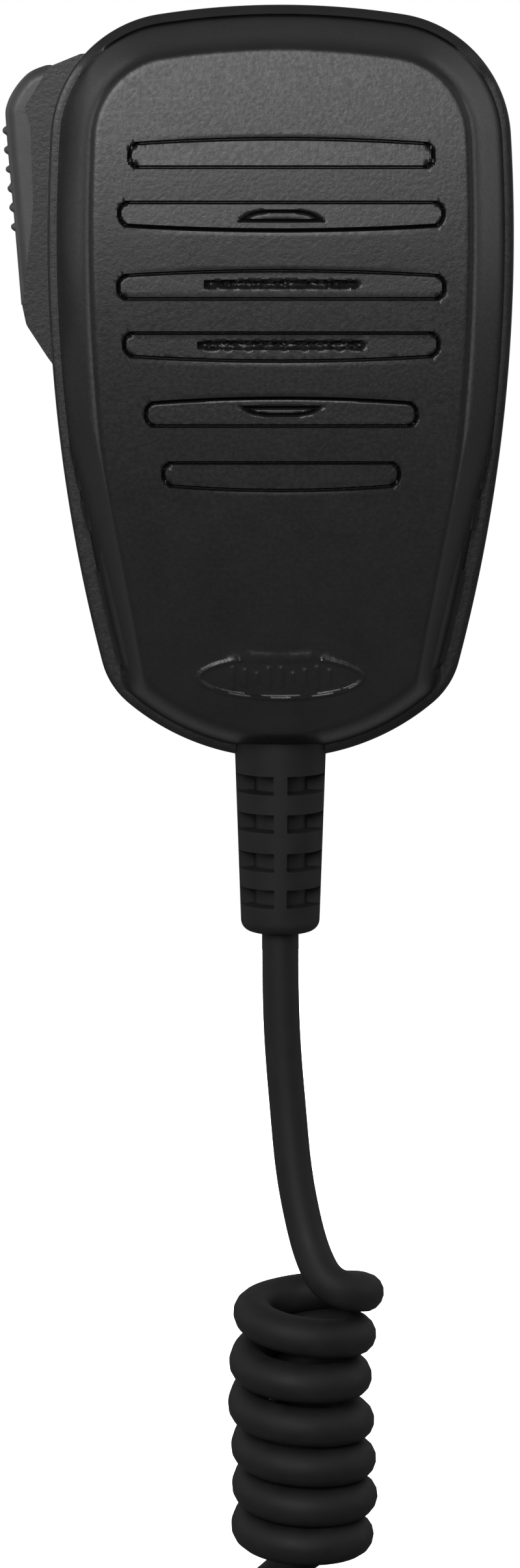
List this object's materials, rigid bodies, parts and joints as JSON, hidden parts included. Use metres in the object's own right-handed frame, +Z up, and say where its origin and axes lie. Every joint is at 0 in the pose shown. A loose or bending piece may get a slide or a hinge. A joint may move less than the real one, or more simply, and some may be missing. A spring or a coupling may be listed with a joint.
{
  "type": "hand microphone",
  "caption": "Hand microphone with a tapering ribbed case, a sprung side push-to-talk lever, a rear hang-up button and a curly cord with a modular plug.",
  "frame": {"origin": "centre of the hang-up button's head, on the back of the case", "axes": "+Z up as the microphone hangs, +Y out of the back of the case along the hang-up button, +X to the right seen from the speaking face, with the push-to-talk lever on -X"},
  "size_m": [0.076, 0.0369, 0.2843],
  "materials": {
    "case_plastic": "fine moulded texture",
    "lever_plastic": "fine moulded texture, slightly polished by thumbs",
    "black_rubber": "matt",
    "cord_rubber": "satin polyurethane jacket",
    "steel": "zinc plated",
    "chrome": "turned and plated",
    "brass": "turned",
    "gold": "gold plated",
    "copper_wire": "enamelled winding",
    "aluminium": "drawn",
    "component_black": "moulded",
    "white_nylon": "moulded nylon",
    "board_green": "solder mask",
    "capacitor_sleeve": "shrink sleeve",
    "wire_red": "insulation",
    "black_cloth": "woven dust cloth",
    "tie_strap": "hook-and-loop strap",
    "clear_plastic": "clear polycarbonate"
  },
  "bodies": {
    "microphone": {"front_case": "case_plastic", "rear_case": "case_plastic", "case_seal": "black_rubber", "case_screws": "steel", "case_inserts": "brass", "ptt_pivot_pin": "steel", "ptt_leaf_spring": "steel", "ptt_switch_body": "component_black", "circuit_board": "board_green", "board_screws": "steel", "preamp_chip": "component_black", "board_capacitors": "capacitor_sleeve", "board_resistors": "component_black", "cord_header": "white_nylon", "cord_wires": "wire_red", "capsule_can": "aluminium", "capsule_gasket": "black_rubber", "capsule_diaphragm": "clear_plastic", "capsule_voice_coil": "copper_wire", "capsule_magnet": "steel", "capsule_yoke": "steel", "capsule_boot": "black_rubber", "capsule_bracket": "steel", "bracket_screws": "steel", "dust_cloth": "black_cloth", "hang_button": "chrome", "hang_button_screw": "steel", "hang_button_washer": "steel", "cord_clamp": "white_nylon", "cord_clamp_screws": "steel", "strain_relief": "cord_rubber", "cord_inner_end": "cord_rubber", "cord_lead": "cord_rubber", "cord_coil": "cord_rubber", "cord_tail": "cord_rubber", "hank_tie": "tie_strap", "plug_boot": "cord_rubber", "plug_body": "clear_plastic", "plug_contacts": "gold"},
    "ptt": {"ptt_lever": "lever_plastic"},
    "switch_plunger": {"ptt_switch_plunger": "white_nylon"},
    "latch": {"plug_latch": "clear_plastic"}
  },
  "joints": [
    {"name": "ptt_press", "type": "hinge", "parent": "microphone", "child": "ptt", "pos_m": [-0.0302, 0, -0.0026], "axis": [0, 1, 0], "range_deg": [0, 4], "stiffness_Nm_per_rad": 1, "deforming": ["ptt_leaf_spring"]},
    {"name": "plunger_slide", "type": "slide", "parent": "microphone", "child": "switch_plunger", "axis": [1, 0, 0], "range_m": [0, 0.0014]},
    {"name": "latch_press", "type": "hinge", "parent": "microphone", "child": "latch", "pos_m": [0.0222, -0.00195, -0.2305], "axis": [1, 0, 0], "range_deg": [0, 12], "stiffness_Nm_per_rad": 0.02}
  ],
  "couplings": [
    {"joint": "plunger_slide", "follows": "ptt_press", "m_per_rad": 0.0198}
  ]
}
